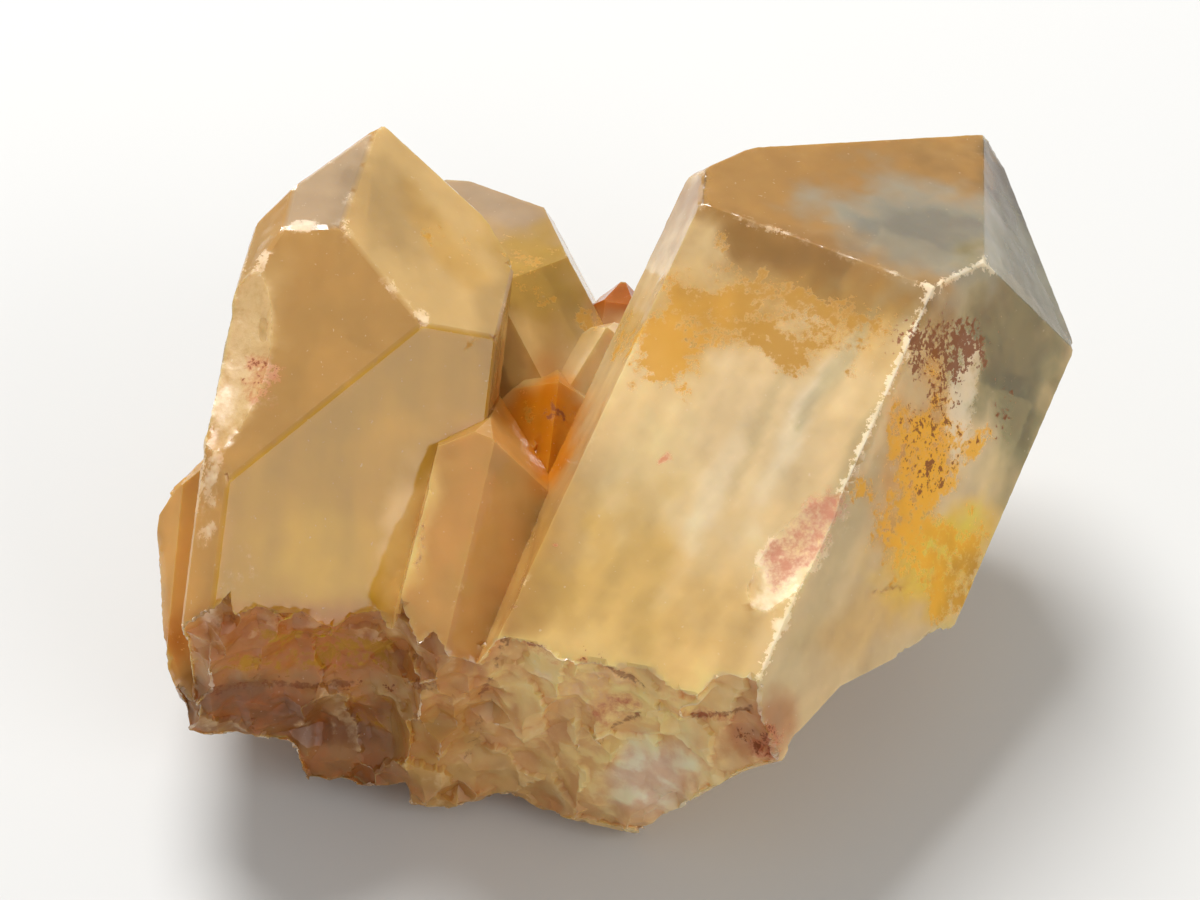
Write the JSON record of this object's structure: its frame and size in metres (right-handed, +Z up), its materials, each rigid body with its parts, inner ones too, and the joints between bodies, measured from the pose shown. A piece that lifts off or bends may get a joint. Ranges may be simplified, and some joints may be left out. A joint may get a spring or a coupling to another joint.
{
  "type": "citrine crystal cluster",
  "caption": "Hand-sized cluster of yellow quartz points grown side by side, broken off at the roots and lying on a flat underside.",
  "frame": {"origin": "middle of the bounding box's base, on the surface that the cluster lies on", "axes": "+Z up, +X along the broken roots from the left-hand point to the right-hand one, +Y from the break towards the tips"},
  "size_m": [0.063, 0.0488, 0.0325],
  "materials": {
    "citrine": "clear to milky golden quartz with smooth crystal faces, iron-stained patches and a rough break"
  },
  "bodies": {
    "root": {"crystal_cluster": "citrine"}
  },
  "joints": []
}
